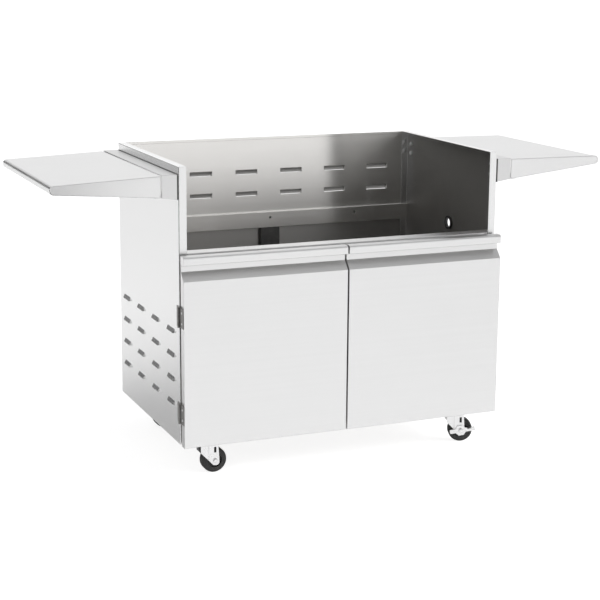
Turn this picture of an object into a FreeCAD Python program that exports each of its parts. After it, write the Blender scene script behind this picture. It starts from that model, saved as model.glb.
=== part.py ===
import FreeCAD, Part
import math
import os

import Sketcher
from FreeCAD import Rotation, Vector

# Grill cart of folded stainless sheet: an open well for a grill head over a two-door
# cabinet, a folding wedge shelf on each side, and four swivel casters.
# Millimetres. X runs to the right, Y to the back, Z up from the floor.

SIZES = {
    # whole cart
    "cart_width": 1016,
    "cart_depth": 597,
    "panel_height": 808,
    "ground_clearance": 107,
    "sheet": 1.5,
    "flange_width": 24,
    "bend_radius": 2.5,
    "corner_gap": 0.3,
    # louvres pressed into the side panels
    "side_louvre_length": 60,
    "side_louvre_height": 13,
    "side_louvre_rise": 6.5,
    "side_louvre_columns": 4,
    "side_louvre_rows": 4,
    "side_louvre_pitch": 147.3,
    "side_louvre_lowest": 106,
    # louvres pressed into the upper back panel
    "back_louvre_length": 76,
    "back_louvre_height": 15,
    "back_louvre_rise": 8,
    "back_louvre_columns": 6,
    "back_louvre_rows": 2,
    "back_louvre_pitch": 156.7,
    "back_louvre_lowest": 55,
    "louvre_row_pitch": 71.7,
    "louvre_lip": 2,
    "louvre_end_slope": 4,
    # back wall
    "back_edge_inset": 3,
    "back_seam": 1.5,
    "back_fold_height": 561,
    "back_hem_height": 8,
    "back_rail_height": 50,
    "back_rail_depth": 12,
    "back_rail_hole_radius": 3.5,
    "back_rail_hole_pitch": 304,
    "back_rail_hole_height": 32,
    "lower_back_bottom": 2,
    "seam_edge": 6.5,
    "centre_post_width": 65,
    "centre_post_depth": 15,
    # floor and base
    "base_channel_height": 22,
    "base_channel_width": 74,
    "base_sheet": 2,
    "floor_pan_edge": 18,
    # front rail
    "front_rail_top": 561,
    "front_rail_height": 49,
    "front_rail_ledge": 45,
    "front_rail_lip": 12,
    "front_rail_foot": 20,
    "cope_gap": 1,
    # gas line hole and its grommet
    "gas_hole_radius": 18.3,
    "gas_hole_depth": 293,
    "gas_hole_height": 543,
    "grommet_bore": 15,
    "grommet_neck": 18,
    "grommet_flange": 22,
    "grommet_lip": 3.5,
    # doors
    "door_gap": 14,
    "door_depth": 25.5,
    "door_split": 5,
    "face_height": 487,
    "pull_depth": 22.5,
    "pull_foot": 512.5,
    "lip_bottom": 533,
    "lip_top": 558.5,
    "lip_radius": 8,
    "door_bend": 2.5,
    "liner_sheet": 1.2,
    "liner_edge": 10,
    "liner_clearance": 0.3,
    "liner_drop": 6,
    "strike_width": 46,
    "strike_height": 17,
    "strike_sheet": 1.5,
    "magnet_width": 42,
    "magnet_height": 16,
    "magnet_clearance": 0.3,
    "magnet_place": 60,
    "magnet_foot": 515,
    # door hinges
    "hinge_height": 59,
    "hinge_lowest": 67,
    "hinge_spacing": 284,
    "hinge_barrel": 5,
    "hinge_offset": 3.5,
    "hinge_sheet": 1.8,
    "hinge_leaf": 26,
    "hinge_pin": 2.5,
    "hinge_fit": 0.08,
    "hinge_clearance": 0.4,
    # shelves and their brackets
    "bracket_width": 48,
    "bracket_top": 786,
    "bracket_inner_bottom": 715,
    "bracket_outer_bottom": 722,
    "bracket_bolt_inset": 30,
    "bracket_bolt_low": 737,
    "bracket_bolt_spacing": 31,
    "bracket_bolt_radius": 4,
    "bracket_bolt_hole": 4.4,
    "bracket_bolt_head": 6.5,
    "bracket_bolt_head_height": 5,
    "ear_length": 22,
    "ear_height": 18,
    "ear_sheet": 4,
    "ear_clearance": 0.6,
    "shelf_length": 313,
    "shelf_height": 61.5,
    "shelf_bottom": 722,
    "shelf_gap": 1.5,
    "shelf_nose": 24.5,
    "shelf_nose_flat": 0.25,
    "shelf_pivot_inset": 9,
    "left_shelf_fall": 2.4,
    "right_shelf_fall": 0.5,
    "shelf_pin": 4,
    "shelf_pin_fit": 0.08,
    "shelf_pin_reach": 3,
    "stiffener_width": 60,
    "stiffener_height": 14,
    "stiffener_place": 150,
    # casters
    "caster_side_inset": 97,
    "caster_front_inset": 46,
    "caster_rear_inset": 80,
    "caster_trail": 18,
    "front_left_swing": 0,
    "front_right_swing": -20,
    "rear_left_swing": 0,
    "rear_right_swing": 0,
    "caster_plate": 62,
    "caster_plate_sheet": 3,
    "caster_bolt_spacing": 42,
    "caster_bolt_radius": 3,
    "caster_bolt_hole": 3.3,
    "caster_bolt_head": 5.5,
    "caster_bolt_head_height": 4,
    "race_radius": 23,
    "race_height": 7,
    "race_foot": 18,
    "race_rim": 3,
    "kingpin": 5,
    "kingpin_head": 9,
    "kingpin_head_height": 4,
    "swivel_fit": 0.08,
    "swivel_clearance": 0.3,
    "fork_sheet": 2.5,
    "fork_side_gap": 2.5,
    "fork_back": 26,
    "fork_shoulder": 27,
    "fork_foot": 13,
    "fork_taper": 4,
    "fork_drop": 14,
    "fork_heel": 5,
    "fork_foot_radius": 9,
    "fork_bend": 4,
    "fork_slot_width": 7,
    "fork_slot_height": 17,
    "fork_slot_place": 25,
    "fork_bead_place": 21,
    "fork_bead_length": 55,
    "fork_bead_width": 6,
    "fork_bead_depth": 1.4,
    "wheel_radius": 38,
    "wheel_width": 32,
    "tyre_inner": 27,
    "tyre_seat": 0.1,
    "tyre_crown": 11,
    "tyre_shoulder": 4,
    "tyre_round": 5,
    "hub_boss": 10,
    "hub_rim": 22,
    "hub_web": 18,
    "axle": 4,
    "axle_fit": 0.08,
    "axle_head": 7,
    "axle_head_height": 4.5,
    "axle_head_round": 3,
    # brake pedals on the right-hand casters
    "pedal_sheet": 3,
    "pedal_clearance": 0.4,
    "pedal_inner_wing": 34,
    "pedal_outer_wing": 46,
    "pedal_hump": 16,
    "pedal_wing_height": 13,
    "pedal_tilt": 9,
    "pedal_toe": 14,
    "pedal_toe_width": 22,
}

doc = FreeCAD.newDocument("grill_cart")
dim = doc.addObject("Spreadsheet::Sheet", "dim")
for row, (alias, number) in enumerate(SIZES.items(), 1):
    dim.set("A%d" % row, alias)
    dim.set("B%d" % row, str(number))
    dim.setAlias("B%d" % row, alias)
doc.recompute()

nodes = []

# Places shared by several pieces, worked out from the sizes

FRONT = (
    "(dim.door_gap + dim.door_depth - dim.cart_depth - dim.sheet - dim.back_louvre_rise) / 2"
)
BACK = "(%s + dim.cart_depth)" % FRONT
DOOR_FACE = "(%s - dim.door_gap - dim.door_depth)" % FRONT
DOOR_WIDTH = "((dim.cart_width - dim.door_split) / 2)"
WALL_BACK = "(%s + dim.pull_depth + dim.sheet)" % DOOR_FACE
GROUND = "dim.ground_clearance"
BASE = "(dim.ground_clearance + dim.sheet)"
BETWEEN_BENDS = "(dim.cart_width - 2 * (dim.bend_radius + dim.corner_gap))"
PLATE_FOOT = "(%s - dim.caster_plate_sheet)" % BASE
CROWN_TOP = "(%s - dim.race_height - dim.swivel_clearance)" % PLATE_FOOT
CROWN_FOOT = "(%s - dim.fork_sheet)" % CROWN_TOP
FORK_INNER = "(dim.wheel_width / 2 + dim.fork_side_gap)"
FORK_OUTER = "(%s + dim.fork_sheet)" % FORK_INNER
CASTER_X = "(dim.cart_width / 2 - dim.caster_side_inset)"
CASTER_FRONT = "(%s + dim.caster_front_inset)" % FRONT
CASTER_REAR = "(%s - dim.caster_rear_inset)" % BACK
PIVOT_X = "(dim.cart_width / 2 + dim.bracket_width + dim.shelf_gap + dim.shelf_pivot_inset)"
PIVOT_Z = "(dim.ground_clearance + dim.shelf_bottom + dim.shelf_pivot_inset)"
HINGE_X = "(dim.cart_width / 2 + dim.hinge_offset)"
HINGE_Y = "(%s - dim.door_gap / 2)" % FRONT
SIDES = {"left": -1, "right": 1}

# A new outline starts as a ring of points, before its sizes pull it into shape
START_RADIUS = 50
START_RING = 5


# Helpers

def new_body(label):
    body = doc.addObject("PartDesign::Body", label)
    body.Label = label
    nodes.append(body)
    return body


def origin_part(body, role):
    return next(part for part in body.Origin.OriginFeatures if part.Role == role)


def bind(feature, **sizes):
    for name, expression in sizes.items():
        feature.setExpression(name, str(expression))
    return feature


def place(thing, x="0", y="0", z="0"):
    for axis, expression in zip("xyz", (x, y, z)):
        thing.setExpression("Placement.Base.%s" % axis, str(expression))
    return thing


def new_sketch(body, name, role, offset="0"):
    sketch = body.newObject("Sketcher::SketchObject", name)
    sketch.AttachmentSupport = (origin_part(body, role), [""])
    sketch.MapMode = "FlatFace"
    sketch.setExpression("AttachmentOffset.Base.z", str(offset))
    return sketch


def turn_sketch(sketch, angle):
    """Turns a sketch in its own plane, anticlockwise as it is drawn."""
    sketch.AttachmentOffset.Rotation = Rotation(Vector(0, 0, 1), 1)
    sketch.setExpression("AttachmentOffset.Rotation.Angle", angle)
    return sketch


def pin_point(sketch, geometry, end, spot, place_u, place_v):
    for kind, start, expression in (("DistanceX", spot.x, place_u), ("DistanceY", spot.y, place_v)):
        number = sketch.addConstraint(Sketcher.Constraint(kind, -1, 1, geometry, end, start))
        sketch.setExpression("Constraints[%d]" % number, str(expression))


def outline(body, name, role, corners, offset="0"):
    """A closed outline of straight runs, each corner bound to its two sizes."""
    sketch = new_sketch(body, name, role, offset)
    count = len(corners)
    turn = 2 * math.pi / count
    first = Vector(START_RADIUS, 0, 0)
    upright = Vector(0, 0, 1)
    spots = [Rotation(upright, math.degrees(turn * i)).multVec(first) for i in range(count)]
    for i in range(count):
        sketch.addGeometry(Part.LineSegment(spots[i], spots[(i + 1) % count]), False)
    for i in range(count):
        sketch.addConstraint(Sketcher.Constraint("Coincident", i, 2, (i + 1) % count, 1))
    for i, (place_u, place_v) in enumerate(corners):
        pin_point(sketch, i, 1, spots[i], place_u, place_v)
    return sketch


def rectangle(body, name, role, low_u, low_v, high_u, high_v, offset="0"):
    corners = [(low_u, low_v), (high_u, low_v), (high_u, high_v), (low_u, high_v)]
    return outline(body, name, role, corners, offset)


def ring(body, name, role, place_u, place_v, radius, offset="0"):
    """A circle bound to its centre and radius."""
    sketch = new_sketch(body, name, role, offset)
    spot = Vector(1, 1, 0)
    sketch.addGeometry(Part.Circle(spot, Vector(0, 0, 1), START_RING), False)
    number = sketch.addConstraint(Sketcher.Constraint("Radius", 0, START_RING))
    sketch.setExpression("Constraints[%d]" % number, str(radius))
    pin_point(sketch, 0, 3, spot, place_u, place_v)
    return sketch


def hexagon(body, name, role, place_u, place_v, radius, offset="0"):
    """A regular hexagon with a corner at its top, bound to its centre and the circle round it."""
    corners = [
        ("%s + %s * cos(%d deg)" % (place_u, radius, angle), "%s + %s * sin(%d deg)" % (place_v, radius, angle))
        for angle in range(30, 390, 60)
    ]
    return outline(body, name, role, corners, offset)


def pad(body, sketch, length, reverse=False, centred=False):
    feature = body.newObject("PartDesign::Pad", sketch.Name + "_pad")
    feature.Profile = sketch
    feature.Reversed = reverse
    feature.Midplane = centred
    return bind(feature, Length=length)


def cut_through(body, sketch, length):
    """Cuts to both sides of the sketch, and must take material away."""
    doc.recompute()
    before = body.Shape.Volume
    feature = body.newObject("PartDesign::Pocket", sketch.Name + "_cut")
    feature.Profile = sketch
    feature.Midplane = True
    bind(feature, Length=length)
    doc.recompute()
    if body.Shape.Volume > before - 1e-6:
        raise RuntimeError("%s cuts nothing" % feature.Name)
    return feature


def revolve(body, sketch):
    feature = body.newObject("PartDesign::Revolution", sketch.Name + "_turned")
    feature.Profile = sketch
    feature.ReferenceAxis = (sketch, ["V_Axis"])
    feature.Angle = 360
    return feature


def pattern(body, role, length, count):
    """A row of copies along one of the body's axes."""
    feature = body.newObject("PartDesign::LinearPattern", "row")
    feature.Direction = (origin_part(body, role), [""])
    return bind(feature, Length=length, Occurrences=count)


def repeat(body, features, rows):
    """Repeats features along one or more rows, each (axis, whole length, count)."""
    multi = body.newObject("PartDesign::MultiTransform", "repeat")
    multi.Originals = features
    multi.Transformations = [pattern(body, *row) for row in rows]
    body.Tip = multi
    return multi


def close_to(a, b):
    return abs(a - b) < 1e-4


def runs_along_y(box):
    return close_to(box.XMin, box.XMax) and close_to(box.ZMin, box.ZMax)


def runs_along_z(box):
    return close_to(box.XMin, box.XMax) and close_to(box.YMin, box.YMax)


def picked(shapes, kind, test):
    names = ["%s%d" % (kind, n) for n, shape in enumerate(shapes, 1) if test(shape.BoundBox)]
    if not names:
        raise RuntimeError("no %s found" % kind)
    return names


def fillet(body, radius, test):
    doc.recompute()
    base = body.Tip
    feature = body.newObject("PartDesign::Fillet", "bend")
    feature.Base = (base, picked(base.Shape.Edges, "Edge", test))
    return bind(feature, Radius=radius)


def shell(body, wall, test):
    """Leaves a wall inside the solid's outline and opens the faces that pass the test."""
    doc.recompute()
    base = body.Tip
    feature = body.newObject("PartDesign::Thickness", "folded_sheet")
    feature.Base = (base, picked(base.Shape.Faces, "Face", test))
    feature.Reversed = True
    return bind(feature, Value=wall)


def block(body, name, kind, x, y, z, length, width, height):
    feature = body.newObject("PartDesign::%sBox" % kind, name)
    bind(feature, Length=length, Width=width, Height=height)
    return place(feature, x, y, z)


# Louvres

def louvres(body, family, first_x, outer_y, first_z):
    """Hoods pressed out of a sheet, open along the foot, in rows and columns."""
    made = []
    length = "dim.%s_louvre_length" % family
    for kind, face in (("Additive", outer_y), ("Subtractive", "(%s) - dim.sheet" % outer_y)):
        hood = body.newObject("PartDesign::%sWedge" % kind, "%s_louvre" % kind.lower())
        bind(hood, Xmin=0, Xmax=length, X2min="dim.louvre_end_slope")
        bind(hood, X2max="%s - dim.louvre_end_slope" % length)
        bind(hood, Ymin=0, Ymax="dim.%s_louvre_rise" % family)
        bind(hood, Zmin=0, Zmax="dim.%s_louvre_height" % family, Z2min=0, Z2max="dim.louvre_lip")
        place(hood, first_x, face, first_z)
        made.append(hood)
    columns = "dim.%s_louvre_columns" % family
    rows = "dim.%s_louvre_rows" % family
    across = "dim.%s_louvre_pitch * (%s - 1)" % (family, columns)
    up = "dim.louvre_row_pitch * (%s - 1)" % rows
    repeat(body, made, [("X_Axis", across, columns), ("Z_Axis", up, rows)])


# Side panels

def side_panel(side):
    """A pan with its edges turned in; local X runs along the depth and local Y outwards."""
    body = new_body("%s_side_panel" % side)
    face = rectangle(body, "panel_face", "XZ_Plane", 0, 0, "dim.cart_depth", "dim.panel_height")
    pad(body, face, "dim.flange_width")
    fillet(body, "dim.bend_radius", lambda box: close_to(box.YMin, 0) and close_to(box.YMax, 0))
    inner = -SIZES["flange_width"]
    shell(body, "dim.sheet", lambda box: close_to(box.YMax, inner))
    doc.recompute()
    bolt = ring(body, "bolt_hole", "XZ_Plane", "dim.bracket_bolt_inset", "dim.bracket_bolt_low",
                "dim.bracket_bolt_hole")
    hole = cut_through(body, bolt, "4 * dim.sheet")
    along = "dim.cart_depth - 2 * dim.bracket_bolt_inset"
    repeat(body, [hole], [("X_Axis", along, 2), ("Z_Axis", "dim.bracket_bolt_spacing", 2)])
    if side == "right":
        depth = "dim.cart_depth - dim.gas_hole_depth"
        gas = ring(body, "gas_hole", "XZ_Plane", depth, "dim.gas_hole_height", "dim.gas_hole_radius")
        cut_through(body, gas, "4 * dim.sheet")
    span = "(dim.side_louvre_pitch * (dim.side_louvre_columns - 1) + dim.side_louvre_length)"
    louvres(body, "side", "(dim.cart_depth - %s) / 2" % span, "0", "dim.side_louvre_lowest")
    if side == "left":
        body.Placement.Rotation = Rotation(Vector(0, 0, 1), 90)
        place(body, "-dim.cart_width / 2", FRONT, GROUND)
    else:
        body.Placement.Rotation = Rotation(Vector(0, 0, 1), -90)
        place(body, "dim.cart_width / 2", BACK, GROUND)


# Back wall

def upper_back_panel():
    body = new_body("upper_back_panel")
    half = "(dim.cart_width / 2 - dim.back_edge_inset)"
    height = "(dim.panel_height - dim.back_fold_height)"
    face = rectangle(body, "panel_face", "XZ_Plane", "-%s" % half, 0, half, height)
    pad(body, face, "dim.sheet", reverse=True)
    clear = "(dim.cart_width / 2 - dim.flange_width - dim.cope_gap)"
    hem = rectangle(body, "hem", "XZ_Plane", "-%s" % clear, "%s - dim.back_hem_height" % height,
                    clear, height)
    pad(body, hem, "dim.sheet")
    span = "(dim.back_louvre_pitch * (dim.back_louvre_columns - 1) + dim.back_louvre_length)"
    louvres(body, "back", "-%s / 2" % span, "dim.sheet", "dim.back_louvre_lowest")
    place(body, 0, BACK, "%s + dim.back_fold_height" % GROUND)


def back_rail():
    """A channel open to the back, whose top is the rear ledge for a grill head."""
    body = new_body("back_rail")
    deep = "dim.back_rail_depth"
    tall = "dim.back_rail_height"
    corners = [
        (0, 0), (deep, 0), (deep, "dim.sheet"), ("dim.sheet", "dim.sheet"),
        ("dim.sheet", "%s - dim.sheet" % tall), (deep, "%s - dim.sheet" % tall), (deep, tall), (0, tall),
    ]
    pad(body, outline(body, "channel", "YZ_Plane", corners), BETWEEN_BENDS, centred=True)
    spot = ring(body, "rail_hole", "XZ_Plane", "-dim.back_rail_hole_pitch", "dim.back_rail_hole_height",
                "dim.back_rail_hole_radius")
    hole = cut_through(body, spot, "4 * dim.sheet")
    repeat(body, [hole], [("X_Axis", "2 * dim.back_rail_hole_pitch", 3)])
    depth = "%s - dim.sheet - dim.back_rail_depth" % BACK
    place(body, 0, depth, "%s + dim.back_fold_height - dim.back_rail_height" % GROUND)


def lower_back_panel(side):
    """A flat sheet whose inner edge is turned back into a standing seam."""
    sign = SIDES[side]
    body = new_body("%s_lower_back_panel" % side)
    near = "%d * dim.back_seam / 2" % sign
    near_wall = "%d * (dim.back_seam / 2 + dim.sheet)" % sign
    far = "%d * (dim.cart_width / 2 - dim.back_edge_inset)" % sign
    corners = [
        (near, 0), (far, 0), (far, "dim.sheet"), (near_wall, "dim.sheet"), (near_wall, "dim.seam_edge"),
        (near, "dim.seam_edge"),
    ]
    height = "dim.back_fold_height - dim.back_seam - dim.lower_back_bottom"
    pad(body, outline(body, "sheet_edge", "XY_Plane", corners), height)
    place(body, 0, BACK, "%s + dim.lower_back_bottom" % GROUND)


def back_centre_channel():
    """The dark upright inside the cabinet that covers the seam, from the floor pan to the back rail."""
    body = new_body("back_centre_channel")
    half = "dim.centre_post_width / 2"
    inner = "(%s - dim.sheet)" % half
    front = "-dim.centre_post_depth"
    behind = "(dim.sheet - dim.centre_post_depth)"
    corners = [
        ("-%s" % half, 0), ("-%s" % half, front), (half, front), (half, 0), (inner, 0), (inner, behind),
        ("-%s" % inner, behind), ("-%s" % inner, 0),
    ]
    foot = "(2 * dim.sheet + dim.base_channel_height)"
    height = "dim.back_fold_height - dim.back_rail_height - %s" % foot
    pad(body, outline(body, "channel", "XY_Plane", corners), height)
    place(body, 0, BACK, "%s + %s" % (GROUND, foot))


# Floor and base

def floor_pan():
    """The cabinet floor, which lies on the base channels with its front and rear edges turned down."""
    body = new_body("floor_pan")
    deep = "(dim.cart_depth - 2 * dim.sheet)"
    lip = "(dim.sheet - dim.floor_pan_edge)"
    corners = [
        (0, lip), ("dim.sheet", lip), ("dim.sheet", 0), ("%s - dim.sheet" % deep, 0),
        ("%s - dim.sheet" % deep, lip), (deep, lip), (deep, "dim.sheet"), (0, "dim.sheet"),
    ]
    pad(body, outline(body, "floor", "YZ_Plane", corners), BETWEEN_BENDS, centred=True)
    place(body, 0, "%s + dim.sheet" % FRONT, "%s + dim.base_channel_height" % BASE)


def base_channel(end, centre):
    """A channel across the cart, open upwards, that carries two casters."""
    body = new_body("%s_base_channel" % end)
    half = "dim.base_channel_width / 2"
    tall = "dim.base_channel_height"
    inner = "(%s - dim.base_sheet)" % half
    corners = [
        ("-%s" % half, 0), (half, 0), (half, tall), (inner, tall), (inner, "dim.base_sheet"),
        ("-%s" % inner, "dim.base_sheet"), ("-%s" % inner, tall), ("-%s" % half, tall),
    ]
    pad(body, outline(body, "channel", "YZ_Plane", corners), BETWEEN_BENDS, centred=True)
    spread = "dim.caster_bolt_spacing"
    spot = ring(body, "bolt_hole", "XY_Plane", "-%s - %s / 2" % (CASTER_X, spread), "-%s / 2" % spread,
                "dim.caster_bolt_hole")
    hole = cut_through(body, spot, "4 * dim.base_sheet")
    rows = [("X_Axis", spread, 2), ("Y_Axis", spread, 2), ("X_Axis", "2 * %s" % CASTER_X, 2)]
    repeat(body, [hole], rows)
    place(body, 0, centre, BASE)


# Front rail

def front_rail():
    """A channel whose ledge carries the front of a grill head, coped round the panel flanges."""
    body = new_body("front_rail")
    tall = "dim.front_rail_height"
    ledge = "dim.front_rail_ledge"
    under = "(%s - dim.sheet)" % tall
    corners = [
        (0, 0), ("dim.front_rail_foot", 0), ("dim.front_rail_foot", "dim.sheet"), ("dim.sheet", "dim.sheet"),
        ("dim.sheet", under), ("%s - dim.sheet" % ledge, under),
        ("%s - dim.sheet" % ledge, "%s - dim.front_rail_lip" % tall),
        (ledge, "%s - dim.front_rail_lip" % tall), (ledge, tall), (0, tall),
    ]
    pad(body, outline(body, "channel", "YZ_Plane", corners), BETWEEN_BENDS, centred=True)
    doc.recompute()
    before = body.Shape.Volume
    wide = "dim.flange_width + dim.cope_gap"
    starts = {"left_cope": "-dim.cart_width / 2", "right_cope": "dim.cart_width / 2 - (%s)" % wide}
    for name, start in starts.items():
        block(body, name, "Subtractive", start, 0, 0, wide, "dim.sheet", tall)
    doc.recompute()
    if body.Shape.Volume > before - 1e-6:
        raise RuntimeError("the copes cut nothing")
    place(body, 0, FRONT, "%s + dim.front_rail_top - %s" % (GROUND, tall))


# Gas line grommet

def gas_line_grommet():
    """A rubber ring with a groove for the sheet, turned about its own axis."""
    body = new_body("gas_line_grommet")
    far = "(dim.sheet + dim.grommet_lip)"
    corners = [
        ("dim.grommet_bore", "-dim.grommet_lip"), ("dim.grommet_flange", "-dim.grommet_lip"),
        ("dim.grommet_flange", 0), ("dim.grommet_neck", 0), ("dim.grommet_neck", "dim.sheet"),
        ("dim.grommet_flange", "dim.sheet"), ("dim.grommet_flange", far), ("dim.grommet_bore", far),
    ]
    revolve(body, outline(body, "section", "XZ_Plane", corners))
    body.Placement.Rotation = Rotation(Vector(0, 1, 0), 90)
    place(body, "dim.cart_width / 2 - dim.sheet", "%s + dim.gas_hole_depth" % FRONT,
          "%s + dim.gas_hole_height" % GROUND)


# Doors

def door_left_edge(side):
    return "-dim.cart_width / 2" if side == "left" else "dim.door_split / 2"


def door_skin(side):
    """One folded sheet: face, sloped pull, lip and returned edges, open at the back."""
    body = new_body("%s_door_skin" % side)
    corners = [
        (0, 0), ("dim.door_depth", 0), ("dim.door_depth", "dim.lip_top"), (0, "dim.lip_top"),
        (0, "dim.lip_bottom"), ("dim.pull_depth", "dim.lip_bottom"), ("dim.pull_depth", "dim.pull_foot"),
        (0, "dim.face_height"),
    ]
    pad(body, outline(body, "section", "YZ_Plane", corners), DOOR_WIDTH)
    face_lines = (SIZES["face_height"], SIZES["lip_bottom"], 0)
    fillet(body, "dim.lip_radius", lambda box: close_to(box.YMax, 0) and close_to(box.ZMin, SIZES["lip_top"]))
    fillet(body, "dim.door_bend", lambda box: close_to(box.YMax, 0) and close_to(box.ZMin, box.ZMax)
           and any(close_to(box.ZMin, line) for line in face_lines))
    shell(body, "dim.sheet", lambda box: close_to(box.YMin, SIZES["door_depth"]))
    place(body, door_left_edge(side), DOOR_FACE, GROUND)


def door_liner(side):
    """A shallow pan that closes the back of the door."""
    body = new_body("%s_door_liner" % side)
    near = "(dim.sheet + dim.liner_clearance)"
    top = "dim.face_height - dim.liner_drop"
    face = rectangle(body, "liner_face", "XZ_Plane", near, near, "%s - %s" % (DOOR_WIDTH, near), top)
    pad(body, face, "dim.liner_edge")
    doc.recompute()
    front = body.Shape.BoundBox.YMin
    shell(body, "dim.liner_sheet", lambda box: close_to(box.YMax, front))
    place(body, door_left_edge(side), "%s - dim.door_gap" % FRONT, GROUND)


def strike_centre(side):
    return "%d * (dim.door_split / 2 + dim.magnet_place)" % SIDES[side]


def strike_plate(side):
    body = new_body("%s_strike_plate" % side)
    half = "dim.strike_width / 2"
    face = rectangle(body, "plate", "XZ_Plane", "-%s" % half, 0, half, "dim.strike_height")
    pad(body, face, "dim.strike_sheet", reverse=True)
    fillet(body, "dim.strike_sheet", runs_along_y)
    place(body, strike_centre(side), WALL_BACK, "%s + dim.pull_foot + dim.sheet" % GROUND)


def door_magnet(side):
    """The catch on the front rail that meets the strike plate."""
    body = new_body("%s_door_magnet" % side)
    half = "dim.magnet_width / 2"
    face = rectangle(body, "housing", "XZ_Plane", "-%s" % half, 0, half, "dim.magnet_height")
    reach = "%s - %s - dim.strike_sheet - dim.magnet_clearance" % (FRONT, WALL_BACK)
    pad(body, face, reach)
    fillet(body, "dim.sheet", runs_along_y)
    place(body, strike_centre(side), FRONT, "%s + dim.magnet_foot" % GROUND)


# Door hinges

THIRD = "(dim.hinge_height / 3)"
KNUCKLE_GAP = "(dim.hinge_barrel + dim.hinge_clearance)"


def hinge_leaf_faces(side):
    """Inner and outer face of a leaf, across the hinge axis, with the right sign."""
    sign = SIDES[side]
    return "%d * -dim.hinge_offset" % sign, "%d * (dim.hinge_sheet - dim.hinge_offset)" % sign


def hinge_fixed_leaves(side):
    """Leaves on the outside of the side panel, with the outer knuckles."""
    body = new_body("%s_hinge_fixed_leaves" % side)
    body.AllowCompound = True
    inner, outer = hinge_leaf_faces(side)
    face = rectangle(body, "leaf", "XY_Plane", inner, 0, outer, "dim.hinge_leaf")
    leaf = pad(body, face, "dim.hinge_height")
    barrel = pad(body, ring(body, "barrel", "XY_Plane", 0, 0, "dim.hinge_barrel"), "dim.hinge_height")
    middle = "dim.hinge_height / 2"
    room = ring(body, "knuckle_room", "XY_Plane", 0, 0, KNUCKLE_GAP, middle)
    gap = cut_through(body, room, "%s + 2 * dim.hinge_clearance" % THIRD)
    bore = ring(body, "pin_bore", "XY_Plane", 0, 0, "dim.hinge_pin + dim.hinge_fit", middle)
    hole = cut_through(body, bore, "2 * dim.hinge_height")
    repeat(body, [leaf, barrel, gap, hole], [("Z_Axis", "dim.hinge_spacing", 2)])
    place(body, "%d * %s" % (SIDES[side], HINGE_X), HINGE_Y, "%s + dim.hinge_lowest" % GROUND)


def hinge_door_leaves(side):
    """Leaves on the door's returned edge, with the middle knuckle."""
    body = new_body("%s_hinge_door_leaves" % side)
    body.AllowCompound = True
    inner, outer = hinge_leaf_faces(side)
    reach = "-(dim.door_gap / 2 + dim.door_depth - dim.door_bend)"
    leaf = pad(body, rectangle(body, "leaf", "XY_Plane", inner, reach, outer, "-%s" % KNUCKLE_GAP),
               "dim.hinge_height")
    strip = rectangle(body, "tongue", "XY_Plane", inner, "-%s" % KNUCKLE_GAP, outer, 0, THIRD)
    tongue = pad(body, strip, THIRD)
    barrel = pad(body, ring(body, "barrel", "XY_Plane", 0, 0, "dim.hinge_barrel", THIRD), THIRD)
    bore = ring(body, "pin_bore", "XY_Plane", 0, 0, "dim.hinge_pin + dim.hinge_fit", "dim.hinge_height / 2")
    hole = cut_through(body, bore, "2 * dim.hinge_height")
    repeat(body, [leaf, tongue, barrel, hole], [("Z_Axis", "dim.hinge_spacing", 2)])
    place(body, "%d * %s" % (SIDES[side], HINGE_X), HINGE_Y, "%s + dim.hinge_lowest" % GROUND)


def hinge_pins(side):
    body = new_body("%s_hinge_pins" % side)
    body.AllowCompound = True
    pin = pad(body, ring(body, "pin", "XY_Plane", 0, 0, "dim.hinge_pin"), "dim.hinge_height")
    repeat(body, [pin], [("Z_Axis", "dim.hinge_spacing", 2)])
    place(body, "%d * %s" % (SIDES[side], HINGE_X), HINGE_Y, "%s + dim.hinge_lowest" % GROUND)


# Shelves

def shelf_bracket(side):
    """A full-depth box open below, with two ears that carry the shelf's pivot pins."""
    sign = SIDES[side]
    body = new_body("%s_shelf_bracket" % side)
    wide = "%d * dim.bracket_width" % sign
    corners = [
        (0, "dim.bracket_inner_bottom"), (wide, "dim.bracket_outer_bottom"), (wide, "dim.bracket_top"),
        (0, "dim.bracket_top"),
    ]
    pad(body, outline(body, "section", "XZ_Plane", corners), "dim.cart_depth", reverse=True)
    shell(body, "dim.sheet", lambda box: close_to(box.ZMin, SIZES["bracket_inner_bottom"])
          and close_to(box.ZMax, SIZES["bracket_outer_bottom"]))
    doc.recompute()
    bolt = ring(body, "bolt_hole", "YZ_Plane", "dim.bracket_bolt_inset", "dim.bracket_bolt_low",
                "dim.bracket_bolt_hole")
    hole = cut_through(body, bolt, "4 * dim.sheet")
    along = "dim.cart_depth - 2 * dim.bracket_bolt_inset"
    repeat(body, [hole], [("Y_Axis", along, 2), ("Z_Axis", "dim.bracket_bolt_spacing", 2)])
    doc.recompute()
    start = "dim.bracket_width" if sign > 0 else "-dim.bracket_width - dim.ear_length"
    ear_foot = "dim.shelf_bottom + dim.shelf_pivot_inset - dim.ear_height / 2"
    ear_front = "dim.sheet + dim.ear_clearance"
    ear_back = "dim.cart_depth - dim.sheet - dim.ear_clearance - dim.ear_sheet"
    for name, depth in (("front_ear", ear_front), ("back_ear", ear_back)):
        block(body, name, "Additive", start, depth, ear_foot, "dim.ear_length", "dim.ear_sheet",
              "dim.ear_height")
    pivot = "%d * (dim.bracket_width + dim.shelf_gap + dim.shelf_pivot_inset)" % sign
    bore = ring(body, "pin_bore", "XZ_Plane", pivot, "dim.shelf_bottom + dim.shelf_pivot_inset",
                "dim.shelf_pin + dim.shelf_pin_fit")
    cut_through(body, bore, "4 * dim.cart_depth")
    place(body, "%d * dim.cart_width / 2" % sign, FRONT, GROUND)


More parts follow.
